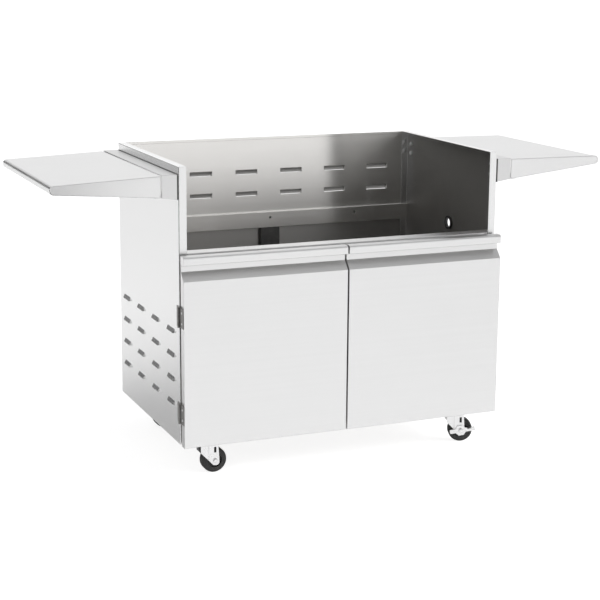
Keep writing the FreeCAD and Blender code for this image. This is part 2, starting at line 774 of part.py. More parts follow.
def bracket_bolts():
    """Bolts through the side panels into the brackets, a head at each end."""
    body = new_body("bracket_bolts")
    body.AllowCompound = True
    reach = "(dim.sheet + dim.bracket_bolt_head_height)"
    head_height = "dim.bracket_bolt_head_height"
    low = "%s + dim.bracket_bolt_low" % GROUND
    front = "%s + dim.bracket_bolt_inset" % FRONT
    made = []
    left = "-dim.cart_width / 2"
    for name, start in (("outer_head", "%s - %s" % (left, reach)), ("inner_head", "%s + dim.sheet" % left)):
        head = hexagon(body, name, "YZ_Plane", front, low, "dim.bracket_bolt_head", start)
        made.append(pad(body, head, head_height))
    shank = ring(body, "shank", "YZ_Plane", front, low, "dim.bracket_bolt_radius", left)
    made.append(pad(body, shank, "2 * dim.sheet", centred=True))
    along = "dim.cart_depth - 2 * dim.bracket_bolt_inset"
    rows = [("Y_Axis", along, 2), ("Z_Axis", "dim.bracket_bolt_spacing", 2), ("X_Axis", "dim.cart_width", 2)]
    repeat(body, made, rows)


def lay_on_pivot(body, side):
    """Places a piece of the shelf at its pivot, tipped by the shelf's fall."""
    sign = SIDES[side]
    body.Placement.Rotation = Rotation(Vector(0, 1, 0), 1)
    body.setExpression("Placement.Rotation.Angle", "%d * dim.%s_shelf_fall" % (sign, side))
    place(body, "%d * %s" % (sign, PIVOT_X), FRONT, PIVOT_Z)


def shelf_shell(side):
    """Folded sheet: flat top, rolled outer edge and wedge-shaped skirts front and back."""
    sign = SIDES[side]
    body = new_body("%s_shelf_shell" % side)
    near = "%d * -dim.shelf_pivot_inset" % sign
    far = "%d * (dim.shelf_length - dim.shelf_pivot_inset)" % sign
    foot = "-dim.shelf_pivot_inset"
    top = "dim.shelf_height - dim.shelf_pivot_inset"
    corners = [(near, foot), (far, "%s - dim.shelf_nose" % top), (far, top), (near, top)]
    pad(body, outline(body, "section", "XZ_Plane", corners), "dim.cart_depth", reverse=True)
    doc.recompute()
    whole = body.Shape.BoundBox
    tip = whole.XMin if sign < 0 else whole.XMax
    roll = "dim.shelf_nose / 2 - dim.shelf_nose_flat"
    fillet(body, roll, lambda box: box.YLength > 1 and close_to(box.XMin, tip) and close_to(box.XMax, tip)
           and close_to(box.ZMin, box.ZMax))
    fillet(body, "dim.shelf_pivot_inset", lambda box: box.YLength > 1 and close_to(box.ZMax, whole.ZMin))
    under = "%s - dim.sheet" % top
    roll_x = "%d * (dim.shelf_length - dim.shelf_pivot_inset - dim.shelf_nose / 2)" % sign
    roll_z = "%s - dim.shelf_nose / 2" % top
    beyond = "%d * -dim.shelf_length" % sign
    below = "-2 * dim.shelf_height"
    inside = "dim.cart_depth - 2 * dim.sheet"
    middle = "-dim.cart_depth / 2"
    hollow = rectangle(body, "hollow", "XZ_Plane", beyond, below, roll_x, under, middle)
    cut_through(body, hollow, inside)
    curl = ring(body, "roll", "XZ_Plane", roll_x, roll_z, "dim.shelf_nose / 2 - dim.sheet", middle)
    cut_through(body, curl, inside)
    lay_on_pivot(body, side)


def shelf_stiffener(side):
    """A channel under the shelf's top, from skirt to skirt."""
    sign = SIDES[side]
    body = new_body("%s_shelf_stiffener" % side)
    top = "dim.shelf_height - dim.shelf_pivot_inset - dim.sheet"
    middle = "%d * (dim.stiffener_place - dim.shelf_pivot_inset)" % sign
    half = "dim.stiffener_width / 2"
    low = "%s - dim.stiffener_height" % top
    face = rectangle(body, "section", "XZ_Plane", "%s - %s" % (middle, half), low,
                     "%s + %s" % (middle, half), top, "-dim.sheet")
    pad(body, face, "dim.cart_depth - 2 * dim.sheet", reverse=True)
    doc.recompute()
    crest = body.Shape.BoundBox.ZMax
    shell(body, "dim.sheet", lambda box: close_to(box.ZMin, crest))
    lay_on_pivot(body, side)


def shelf_pins(side):
    """Pins fixed to the skirts that turn in the bracket's ears."""
    body = new_body("%s_shelf_pins" % side)
    body.AllowCompound = True
    length = "(dim.ear_clearance + dim.ear_sheet + dim.shelf_pin_reach)"
    pin = pad(body, ring(body, "pin", "XZ_Plane", 0, 0, "dim.shelf_pin", "-dim.sheet"), length, reverse=True)
    repeat(body, [pin], [("Y_Axis", "dim.cart_depth - 2 * dim.sheet - %s" % length, 2)])
    lay_on_pivot(body, side)


# Casters

CASTERS = {
    "front_left": (-1, CASTER_FRONT, False),
    "front_right": (1, CASTER_FRONT, True),
    "rear_left": (-1, CASTER_REAR, False),
    "rear_right": (1, CASTER_REAR, True),
}


def at_caster(body, corner, along="0", up="0"):
    """Places a piece that swivels, so far along the trail from the kingpin and so far up."""
    sign, centre, _ = CASTERS[corner]
    swing = "dim.%s_swing" % corner
    body.Placement.Rotation = Rotation(Vector(0, 0, 1), 1)
    body.setExpression("Placement.Rotation.Angle", swing)
    x = "%d * %s + %s * cos(%s * 1 deg)" % (sign, CASTER_X, along, swing)
    y = "%s + %s * sin(%s * 1 deg)" % (centre, along, swing)
    place(body, x, y, up)


def caster_plate(corner):
    """Top plate with the upper race and the kingpin that holds the fork."""
    body = new_body("%s_caster_plate" % corner)
    half = "dim.caster_plate / 2"
    square = rectangle(body, "plate", "XY_Plane", "-%s" % half, "-%s" % half, half, half, PLATE_FOOT)
    pad(body, square, "dim.caster_plate_sheet")
    fillet(body, "dim.caster_plate_sheet", runs_along_z)
    race_foot = "(%s - dim.race_height)" % PLATE_FOOT
    head_top = "(%s - dim.swivel_clearance)" % CROWN_FOOT
    head_foot = "(%s - dim.kingpin_head_height)" % head_top
    corners = [
        (0, PLATE_FOOT), ("dim.race_radius", PLATE_FOOT),
        ("dim.race_radius", "%s - dim.race_rim" % PLATE_FOOT), ("dim.race_foot", race_foot),
        ("dim.kingpin", race_foot), ("dim.kingpin", head_top),
        ("dim.kingpin_head", head_top), ("dim.kingpin_head", head_foot), (0, head_foot),
    ]
    revolve(body, outline(body, "race", "XZ_Plane", corners))
    spread = "dim.caster_bolt_spacing"
    spot = ring(body, "bolt_hole", "XY_Plane", "-%s / 2" % spread, "-%s / 2" % spread, "dim.caster_bolt_hole",
                PLATE_FOOT)
    hole = cut_through(body, spot, "4 * dim.caster_plate_sheet")
    repeat(body, [hole], [("X_Axis", spread, 2), ("Y_Axis", spread, 2)])
    sign, centre, _ = CASTERS[corner]
    place(body, "%d * %s" % (sign, CASTER_X), centre)


def caster_bolts():
    """Bolts through the caster plates and base channels, a hexagon at each end."""
    body = new_body("caster_bolts")
    body.AllowCompound = True
    spread = "dim.caster_bolt_spacing"
    x = "-%s - %s / 2" % (CASTER_X, spread)
    y = "%s - %s / 2" % (CASTER_FRONT, spread)
    made = []
    for name, start in (("head", "%s - dim.caster_bolt_head_height" % PLATE_FOOT),
                        ("nut", "%s + dim.base_sheet" % BASE)):
        hexagon = body.newObject("PartDesign::AdditivePrism", name)
        hexagon.Polygon = 6
        bind(hexagon, Circumradius="dim.caster_bolt_head", Height="dim.caster_bolt_head_height")
        made.append(place(hexagon, x, y, start))
    shank = ring(body, "shank", "XY_Plane", x, y, "dim.caster_bolt_radius", PLATE_FOOT)
    made.append(pad(body, shank, "dim.caster_plate_sheet + dim.base_sheet"))
    rows = [
        ("X_Axis", spread, 2), ("Y_Axis", spread, 2), ("X_Axis", "2 * %s" % CASTER_X, 2),
        ("Y_Axis", "%s - %s" % (CASTER_REAR, CASTER_FRONT), 2),
    ]
    repeat(body, made, rows)


def caster_fork(corner):
    """A pressed fork: crown on the kingpin, two legs down to the axle and a bead down each leg."""
    body = new_body("%s_caster_fork" % corner)
    axle_z = "dim.wheel_radius"
    front_edge = "(dim.caster_trail + dim.fork_foot)"
    corners = [
        ("-dim.fork_back", CROWN_TOP), ("-dim.fork_back", "%s + dim.fork_shoulder" % axle_z),
        ("dim.caster_trail - dim.fork_heel", "%s - dim.fork_drop" % axle_z),
        (front_edge, "%s - dim.fork_drop" % axle_z), (front_edge, axle_z),
        ("%s - dim.fork_taper" % front_edge, CROWN_TOP),
    ]
    pad(body, outline(body, "leg", "XZ_Plane", corners), "2 * %s" % FORK_OUTER, centred=True)
    doc.recompute()
    foot = body.Shape.BoundBox.ZMin
    top = body.Shape.BoundBox.ZMax
    fillet(body, "dim.fork_foot_radius", lambda box: box.YLength > 1 and close_to(box.ZMax, foot))
    fillet(body, "dim.fork_bend", lambda box: close_to(box.YMin, box.YMax) and close_to(box.ZMin, top))
    bead_x = "dim.caster_trail - dim.fork_bead_place"
    for sign in (-1, 1):
        outside = "%d * (%s + dim.fork_bead_depth)" % (sign, FORK_OUTER)
        bottom = "%d * (%s - dim.fork_bead_depth)" % (sign, FORK_OUTER)
        sides = [
            ("%s - dim.fork_bead_width" % bead_x, outside), ("%s + dim.fork_bead_width" % bead_x, outside),
            (bead_x, bottom),
        ]
        cut_through(body, outline(body, "bead", "XY_Plane", sides, CROWN_TOP), "2 * dim.fork_bead_length")
    far = "2 * %s" % front_edge
    room = rectangle(body, "wheel_room", "XZ_Plane", "-2 * dim.fork_back", 0, far, CROWN_FOOT)
    cut_through(body, room, "2 * %s" % FORK_INNER)
    bore = ring(body, "kingpin_bore", "XY_Plane", 0, 0, "dim.kingpin + dim.swivel_fit", CROWN_FOOT)
    cut_through(body, bore, "4 * dim.fork_sheet")
    axle = ring(body, "axle_bore", "XZ_Plane", "dim.caster_trail", axle_z, "dim.axle + dim.axle_fit")
    cut_through(body, axle, "4 * %s" % FORK_OUTER)
    low = "%s + dim.fork_slot_place" % axle_z
    slot = rectangle(body, "leg_slot", "XZ_Plane", "dim.caster_trail - dim.fork_slot_width / 2", low,
                     "dim.caster_trail + dim.fork_slot_width / 2", "%s + dim.fork_slot_height" % low)
    cut_through(body, slot, "4 * %s" % FORK_OUTER)
    at_caster(body, corner)


def caster_hub(corner):
    """Wheel centre, turned: boss, thinner web and rim."""
    body = new_body("%s_wheel_hub" % corner)
    bore = "dim.axle + dim.axle_fit"
    boss = "dim.wheel_width / 2 + dim.fork_side_gap - dim.swivel_clearance"
    web = "dim.hub_web / 2"
    rim = "dim.wheel_width / 2 - dim.tyre_seat"
    edge = "dim.tyre_inner - dim.tyre_seat"
    half = [
        (bore, boss), ("dim.hub_boss", boss), ("dim.hub_boss", web), ("dim.hub_rim", web),
        ("dim.hub_rim", rim), (edge, rim),
    ]
    corners = half + [(radius, "-(%s)" % across) for radius, across in reversed(half)]
    revolve(body, outline(body, "section", "XY_Plane", corners))
    at_caster(body, corner, "dim.caster_trail", "dim.wheel_radius")


def caster_tyre(corner):
    """Tyre, turned, with its shoulders rounded."""
    body = new_body("%s_tyre" % corner)
    flank = "dim.wheel_width / 2"
    half = [
        ("dim.tyre_inner", flank), ("dim.wheel_radius - dim.tyre_shoulder", flank),
        ("dim.wheel_radius", "dim.tyre_crown"),
    ]
    corners = half + [(radius, "-(%s)" % across) for radius, across in reversed(half)]
    revolve(body, outline(body, "section", "XY_Plane", corners))
    bore = 2 * SIZES["tyre_inner"]
    fillet(body, "dim.tyre_round", lambda box: box.ZLength > bore + 1 and close_to(box.YMin, box.YMax))
    at_caster(body, corner, "dim.caster_trail", "dim.wheel_radius")


def axle_front(corner):
    """How far the axle's front head stands from the wheel's middle: past the pedal where there is one."""
    if CASTERS[corner][2]:
        return "(%s + dim.pedal_sheet + 2 * dim.pedal_clearance)" % FORK_OUTER
    return FORK_OUTER


def caster_axle(corner):
    """Axle bolt with a domed head in front and a domed nut behind."""
    body = new_body("%s_axle" % corner)
    front = "-%s" % axle_front(corner)
    head_end = "%s - dim.axle_head_height" % front
    nut_end = "%s + dim.axle_head_height" % FORK_OUTER
    corners = [
        (0, head_end), ("dim.axle_head", head_end), ("dim.axle_head", front), ("dim.axle", front),
        ("dim.axle", FORK_OUTER), ("dim.axle_head", FORK_OUTER), ("dim.axle_head", nut_end), (0, nut_end),
    ]
    revolve(body, outline(body, "section", "XY_Plane", corners))
    doc.recompute()
    ends = (body.Shape.BoundBox.YMin, body.Shape.BoundBox.YMax)
    rim = body.Shape.BoundBox.ZLength
    fillet(body, "dim.axle_head_round", lambda box: close_to(box.ZLength, rim) and box.YMin in ends)
    at_caster(body, corner, "dim.caster_trail", "dim.wheel_radius")


def brake_pedal(corner):
    """A winged plate on the axle, outside the front leg, with a ledge for the foot."""
    body = new_body("%s_brake_pedal" % corner)
    half = "dim.pedal_wing_height / 2"
    hump = "dim.pedal_hump"
    corners = [
        ("-dim.pedal_inner_wing", "-%s" % half), ("-%s" % hump, "-%s" % half),
        ("-%s / 2" % hump, "-%s" % hump), ("%s / 2" % hump, "-%s" % hump),
        (hump, "-%s" % half), ("dim.pedal_outer_wing", "-%s" % half),
        ("dim.pedal_outer_wing", half), (hump, half), ("%s / 2" % hump, hump), ("-%s / 2" % hump, hump),
        ("-%s" % hump, half), ("-dim.pedal_inner_wing", half),
    ]
    near = "(%s + dim.pedal_clearance)" % FORK_OUTER
    wings = turn_sketch(outline(body, "wings", "XZ_Plane", corners, near), "dim.pedal_tilt")
    pad(body, wings, "dim.pedal_sheet")
    fillet(body, "dim.pedal_sheet", lambda box: box.YLength > 1)
    tip = "dim.pedal_outer_wing - dim.pedal_sheet"
    inner_end = "%s - dim.pedal_toe_width" % tip
    ledge_foot = "%s - dim.pedal_sheet" % half
    ledge = rectangle(body, "toe_ledge", "XZ_Plane", inner_end, ledge_foot, tip, half, near)
    pad(body, turn_sketch(ledge, "dim.pedal_tilt"), "dim.pedal_sheet + dim.pedal_toe")
    eye = ring(body, "eye", "XZ_Plane", 0, 0, "dim.axle + dim.axle_fit", near)
    cut_through(body, eye, "4 * dim.pedal_sheet")
    at_caster(body, corner, "dim.caster_trail", "dim.wheel_radius")


# The whole cart

for side in SIDES:
    side_panel(side)
    lower_back_panel(side)
    door_skin(side)
    door_liner(side)
    strike_plate(side)
    door_magnet(side)
    hinge_fixed_leaves(side)
    hinge_door_leaves(side)
    hinge_pins(side)
    shelf_bracket(side)
    shelf_shell(side)
    shelf_stiffener(side)
    shelf_pins(side)
upper_back_panel()
back_rail()
back_centre_channel()
floor_pan()
base_channel("front", CASTER_FRONT)
base_channel("rear", CASTER_REAR)
front_rail()
gas_line_grommet()
bracket_bolts()
caster_bolts()
for corner, (_, _, braked) in CASTERS.items():
    caster_plate(corner)
    caster_fork(corner)
    caster_hub(corner)
    caster_tyre(corner)
    caster_axle(corner)
    if braked:
        brake_pedal(corner)
doc.recompute()

# Every object is sound before anything is written

for thing in doc.Objects:
    if "Invalid" in thing.State or "Error" in thing.State:
        raise RuntimeError("%s failed: %s" % (thing.Label, thing.State))
for node in nodes:
    if node.Shape.isNull() or not node.Shape.isValid():
        raise RuntimeError("%s has no sound shape" % node.Label)

os.makedirs("parts", exist_ok=True)
for node in nodes:
    node.Shape.exportStep("parts/%s.step" % node.Label)
    box = node.Shape.BoundBox
    print("%-28s solids %2d  volume %10.0f  X %7.1f %7.1f  Y %7.1f %7.1f  Z %7.1f %7.1f" % (
        node.Label, len(node.Shape.Solids), node.Shape.Volume, box.XMin, box.XMax, box.YMin, box.YMax,
        box.ZMin, box.ZMax))
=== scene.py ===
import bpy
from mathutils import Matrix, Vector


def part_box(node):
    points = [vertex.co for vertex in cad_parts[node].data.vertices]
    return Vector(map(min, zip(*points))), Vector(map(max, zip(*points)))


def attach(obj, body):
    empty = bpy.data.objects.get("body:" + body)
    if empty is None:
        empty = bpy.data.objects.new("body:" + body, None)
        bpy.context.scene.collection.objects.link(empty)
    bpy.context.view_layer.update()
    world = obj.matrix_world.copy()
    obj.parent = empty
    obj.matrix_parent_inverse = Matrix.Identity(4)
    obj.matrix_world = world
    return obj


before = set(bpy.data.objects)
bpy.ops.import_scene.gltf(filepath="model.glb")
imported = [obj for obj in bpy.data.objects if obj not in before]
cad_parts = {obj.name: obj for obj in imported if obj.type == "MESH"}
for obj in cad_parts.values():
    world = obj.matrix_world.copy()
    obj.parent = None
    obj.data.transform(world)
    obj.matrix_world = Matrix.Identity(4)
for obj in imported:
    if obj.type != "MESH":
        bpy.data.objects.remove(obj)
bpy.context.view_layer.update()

import math

import bmesh
import bpy
from mathutils import Matrix, Vector

# Grill cart in brushed stainless steel, in metres: X to the right, Y to the back, Z up.

MM = 0.001
SIDES = ("left", "right")

# Camera: where it stands, how it is turned, and its lens
EYE = (-1.81418, -4.25992, 1.48271)
EYE_YAW = 0.39888
EYE_PITCH = 0.20273
EYE_ROLL = 0.00763
LENS = 90.77
SENSOR = 36.0
SHIFT_UP = -0.05

# Studio floor: white as seen, and its level in mirrors. That is dim at the front left, but for a lit
# strip that runs slantwise through it, and a little dimmer behind the cart.
FLOOR_HALF = 60.0
FLOOR_GLOW = 0.85
FLOOR_GREY = 0.45
FLOOR_SHEEN = 0.16
FLOOR_WHITE = 0.90
DIM_CORNER_LEVEL = 0.06
DIM_CORNER_FRONT = (-0.3, -0.8)
DIM_CORNER_EDGE = (-0.65, -1.05)
DIM_CORNER_SLANT = 0.26
LIT_STRIP_SLANT = -0.51
LIT_STRIP_START = (0.55, 0.66)
LIT_STRIP_END = (1.6, 2.0)
BEHIND_LEVEL = 0.82
BEHIND_ACROSS = (-0.5, 0.3)
BEHIND_DEPTH = (-0.4, 0.5)
FLOOR_ROUGH = 0.9
MOTTLE_SCALE = 1.5
MOTTLE_LEVELS = (0.3, 0.7)
MOTTLE_TONES = (0.97, 1.03)

# Studio lamps: a broad key from the right and a fill from the left
KEY_LIGHT = 3.0
KEY_WIDTH = math.radians(36)
KEY_PLACE = (3.4, -2.0, 3.2)
FILL_LIGHT = 30.0
FILL_SIZE = (2.2, 2.2)
FILL_PLACE = (-3.4, -3.0, 2.8)
LAMPS_AIM = (0.0, 0.0, 0.4)

# Studio room: its light, and what shows in metal of its backdrop, of the dark gap at the backdrop's lower
# left, and of the ceiling, front and sides
ROOM_LIGHT = 0.30
ROOM_DIM = 0.22
ROOM_DIM_LEFT = 0.08
ROOM_LEFT_EDGE = (-0.3, 0.0)
BACKDROP_WAY = (0.36, 0.86, 0.33)
BACKDROP_EDGE = math.cos(math.radians(45.6))
BACKDROP_FULL = math.cos(math.radians(43.5))
GAP_LEVEL = 0.18
GAP_ACROSS = (-0.06, -0.12)
GAP_DEPTH = (0.5, 0.7)
GAP_RISE = (0.24, 0.32)
CEILING_LIGHT = 0.66
CEILING_RISE = (0.66, 0.88)
FRONT_LIGHT = 1.0
FRONT_RISE = (0.36, 0.55)
FRONT_DEPTH = (-0.2, -0.5)
FRONT_ACROSS = (-0.45, -0.15)
SIDE_LIGHT = 0.60
SIDE_ACROSS = (0.80, 0.92)

# Grain of the sheet: lines to the metre across it and along it, how far it draws out a reflection, how deep
# it is, and the streaks and clouds that vary its tone
GRAIN_ACROSS = 900.0
GRAIN_ALONG = 7.0
GRAIN_DRAW = 0.95
GRAIN_BUMP = 0.012
GRAIN_DEPTH = 0.2 * MM
ACROSS_GRAIN = {"X": (0.0, 0.6, 0.8), "Y": (0.6, 0.0, 0.8), "Z": (0.8, 0.6, 0.0)}
STREAK_SCALE = 0.11
STREAK_SHARE = 0.6
STREAK_LEVELS = (0.3, 0.7)
CLOUD_SCALE = 3.2
CLOUD_SHARE = 0.4
TONE_LEVELS = (0.35, 0.65)
DARK_TONE = 0.988
LIGHT_TONE = 1.010

# Worn edges: how far the rounded surface turns from its face, and the bright line along the sheet's edges,
# which is wear and a painted highlight
EDGE_SAMPLES = 6
EDGE_TURN = (0.99, 0.75)
EDGE_WEAR_AND_HIGHLIGHT = 0.25
EDGE_WEAR_HIGHLIGHT_TONE = 0.93
SHEET_EDGE = 1.2 * MM
SHELF_EDGE = 5.0 * MM

# Handling: patches that are dulled, and how much rougher they are
HAZE_SCALE = 7.0
HAZE_DETAIL = 4.0
HAZE_BREAK = 0.62
HAZE_LEVELS = (0.48, 0.72)
HAZE_ROUGHER = 0.012

# Faces that a mask picks by the way they look: where the mask starts and where it is full or empty
LOOKS_INWARD = (-0.1, -0.3)
LOOKS_FORWARD = (-0.1, -0.3)
LOOKS_DOWN = (-0.5, -0.9)
LOOKS_BACK = (0.3, 0.5)
LOOKS_OUT_OF_HOLLOW = (0.3, 0.1)

# Tints of the sheet (the brighter warm tint of the well is painted light), how much rougher the faces with
# painted shade are, where the back louvres turn hollow, and the seams of the shelf brackets
PLAIN = (1.0, 1.0, 1.0)
WARM = (1.0, 0.985, 0.96)
WARMER = (1.0, 0.96, 0.925)
WELL_WARM_PAINTED_LIGHT = (1.128, 1.111, 1.083)
SHADED_ROUGHER = 0.10
LOUVRE_HOLLOW = (313.6 * MM, 314.2 * MM)
BRACKET_SEAM = (510.5 * MM, 512.5 * MM)

# Zinc plating: its crystals, tones and wear
ZINC_CELLS = 260.0
ZINC_DARK = 0.94
ZINC_BLUE = 1.01
ZINC_ROUGH = (0.27, 0.33)
ZINC_EDGE = 0.6 * MM
ZINC_WEAR = 0.4
ZINC_WORN_TONE = 0.92

# Black rubber and plastic: grit and dust
GRIT_TONES = (0.7, 1.3)
GRIT_LEVELS = (0.25, 0.75)
GRIT_BUMP = 0.35
MOULDED_EDGE = 0.8 * MM
DUST = (0.20, 0.19, 0.17, 1.0)
DUST_SCALE = 45.0
DUST_SHARE = 0.12

# Screws: head with its hexagon socket in shares of its radius and rise, the ways that heads face, and the
# places on hinge leaves and back panels
SCREW_RADIUS = 4.0 * MM
SCREW_RISE = 1.8 * MM
HEAD_SEGMENTS = 18
HEAD_RINGS = 10
SOCKET_SIDES = 6
SOCKET_RADIUS = 0.45
SOCKET_DEPTH = 1.2
SHARP_TURN = math.radians(35)
TO_LEFT = (0.0, -math.pi / 2, 0.0)
TO_RIGHT = (0.0, math.pi / 2, 0.0)
TO_BACK = (-math.pi / 2, 0.0, 0.0)
LEAF_FACE = 509.8 * MM
LEAF_HEIGHT = 59.0 * MM
LEAF_SCREW_INSET = 14.0 * MM
FIXED_LEAF_SCREW_Y = -274.0 * MM
DOOR_LEAF_SCREW_Y = -308.5 * MM
BACK_FACE = 315.0 * MM
BACK_SCREW_COLUMN = 494.0 * MM
BACK_SCREW_INSET = 12.0 * MM
BACK_SCREWS_UP = 5
BACK_SCREWS_ACROSS = 3
UPPER_SCREW_INSET = 22.0 * MM
UPPER_SCREWS = 4


# Node helpers

def node(tree, kind, inputs=None, **settings):
    """A node with its settings; each input is another node's output or a plain value."""
    made = tree.nodes.new(kind)
    for name, value in settings.items():
        setattr(made, name, value)
    for name, value in (inputs or {}).items():
        if isinstance(value, bpy.types.NodeSocket):
            tree.links.new(value, made.inputs[name])
        else:
            made.inputs[name].default_value = value
    return made


def maths(tree, operation, first, second=0.0):
    return node(tree, "ShaderNodeMath", {0: first, 1: second}, operation=operation).outputs[0]


def ranged(tree, value, low, high, to_low, to_high):
    inputs = {"Value": value, "From Min": low, "From Max": high, "To Min": to_low, "To Max": to_high}
    return node(tree, "ShaderNodeMapRange", inputs).outputs["Result"]


def blended(tree, factor, first, second, how="MIX"):
    """A colour between two others."""
    mix = node(tree, "ShaderNodeMix", {0: factor, 6: first, 7: second}, data_type="RGBA", blend_type=how)
    return mix.outputs[2]


def object_place(tree):
    return node(tree, "ShaderNodeTexCoord").outputs["Object"]


def face_way(tree):
    return node(tree, "ShaderNodeNewGeometry").outputs["True Normal"]


def axis_part(tree, vector, axis):
    return node(tree, "ShaderNodeSeparateXYZ", {0: vector}).outputs[axis]


def noise(tree, vector, scale, detail=3.0, roughness=0.55):
    inputs = {"Vector": vector, "Scale": scale, "Detail": detail, "Roughness": roughness}
    return node(tree, "ShaderNodeTexNoise", inputs).outputs["Fac"]


def grey(level):
    return (level, level, level, 1.0)


def effect(name, inputs, outputs):
    """An empty shader group with its named inputs and outputs."""
    tree = bpy.data.node_groups.new(name, "ShaderNodeTree")
    for label, kind, value in inputs:
        tree.interface.new_socket(label, in_out="INPUT", socket_type=kind).default_value = value
    for label, kind in outputs:
        tree.interface.new_socket(label, in_out="OUTPUT", socket_type=kind)
    return tree, tree.nodes.new("NodeGroupInput").outputs, tree.nodes.new("NodeGroupOutput").inputs


FLOAT = "NodeSocketFloat"
VECTOR = "NodeSocketVector"


# Effects shared by the finishes

def make_grain():
    """Brushing lines along one direction, with wider streaks and soft clouds."""
    inputs = [("Stretch", VECTOR, (GRAIN_ACROSS, GRAIN_ACROSS, GRAIN_ALONG))]
    outputs = [("Lines", FLOAT), ("Streaks", FLOAT), ("Clouds", FLOAT)]
    tree, given, put = effect("brushed_grain", inputs, outputs)
    place = object_place(tree)
    stretched = node(
        tree, "ShaderNodeVectorMath", {0: place, 1: given["Stretch"]}, operation="MULTIPLY"
    ).outputs[0]
    tree.links.new(noise(tree, stretched, 1.0, 2.0), put["Lines"])
    tree.links.new(noise(tree, stretched, STREAK_SCALE, 3.0), put["Streaks"])
    tree.links.new(noise(tree, place, CLOUD_SCALE, 2.0), put["Clouds"])
    return tree


def make_edges():
    """Rounded edges, and a mask of the line along them, which the finishes lighten: wear, and on the sheet
    a painted highlight too.
    """
    inputs = [("Radius", FLOAT, SHEET_EDGE)]
    outputs = [("Mask", FLOAT), ("Normal", VECTOR)]
    tree, given, put = effect("rounded_edges", inputs, outputs)
    rounded = node(tree, "ShaderNodeBevel", {"Radius": given["Radius"]}, samples=EDGE_SAMPLES).outputs[0]
    face = face_way(tree)
    match = node(tree, "ShaderNodeVectorMath", {0: rounded, 1: face}, operation="DOT_PRODUCT")
    tree.links.new(ranged(tree, match.outputs["Value"], *EDGE_TURN, 0.0, 1.0), put["Mask"])
    tree.links.new(rounded, put["Normal"])
    return tree


def make_handling():
    """Patches where hands and cloths have dulled a surface."""
    inputs = [("Scale", FLOAT, HAZE_SCALE)]
    tree, given, put = effect("handling_haze", inputs, [("Haze", FLOAT)])
    place = object_place(tree)
    broad = noise(tree, place, given["Scale"], HAZE_DETAIL, HAZE_BREAK)
    tree.links.new(ranged(tree, broad, *HAZE_LEVELS, 0.0, 1.0), put["Haze"])
    return tree


GRAIN = make_grain()
EDGES = make_edges()
HANDLING = make_handling()


def placed(tree, effect_tree, inputs=None):
    """The outputs of an effect placed in a material with its own values."""
    return node(tree, "ShaderNodeGroup", inputs, node_tree=effect_tree).outputs


# Finishes

def new_material(name):
    """A material with a lone Principled shader, and its tree."""
    material = bpy.data.materials.new(name)
    material.use_nodes = True
    tree = material.node_tree
    shader = next(n for n in tree.nodes if n.type == "BSDF_PRINCIPLED")
    return material, tree, shader


def grain_along(axis):
    """Lines to the metre on each axis, for a grain that runs along one of them."""
    return tuple(GRAIN_ALONG if axis == other else GRAIN_ACROSS for other in "XYZ")


def inner_faces(tree):
    """A mask of the faces that look in at the middle of the cart from its left or right."""
    place = object_place(tree)
    face = face_way(tree)
    outward = maths(tree, "MULTIPLY", axis_part(tree, place, "X"), axis_part(tree, face, "X"))
    return ranged(tree, outward, *LOOKS_INWARD, 0.0, 1.0)


def forward_faces(tree):
    """A mask of the faces that look to the front."""
    face = face_way(tree)
    return ranged(tree, axis_part(tree, face, "Y"), *LOOKS_FORWARD, 0.0, 1.0)


def well_faces(tree):
    """A mask of all faces but those that look to the back, so of what is seen in the well."""
    face = face_way(tree)
    return ranged(tree, axis_part(tree, face, "Y"), *LOOKS_BACK, 1.0, 0.0)


def under_faces(tree):
    """A mask of the faces that look down."""
    face = face_way(tree)
    return ranged(tree, axis_part(tree, face, "Z"), *LOOKS_DOWN, 0.0, 1.0)


def panel_seams(tree):
    """A mask of the line where the shelf brackets meet the side panels, darkened there as painted shade."""
    place = object_place(tree)
    out = maths(tree, "ABSOLUTE", axis_part(tree, place, "X"))
    return ranged(tree, out, *BRACKET_SEAM, 1.0, 0.0)


def louvre_hollows(tree):
    """A mask of the hollow sides of the louvres in the back wall, which take painted shade."""
    place = object_place(tree)
    face = face_way(tree)
    deep = ranged(tree, axis_part(tree, place, "Y"), *LOUVRE_HOLLOW, 0.0, 1.0)
    inward = ranged(tree, axis_part(tree, face, "Y"), *LOOKS_OUT_OF_HOLLOW, 0.0, 1.0)
    return maths(tree, "MULTIPLY", deep, inward)


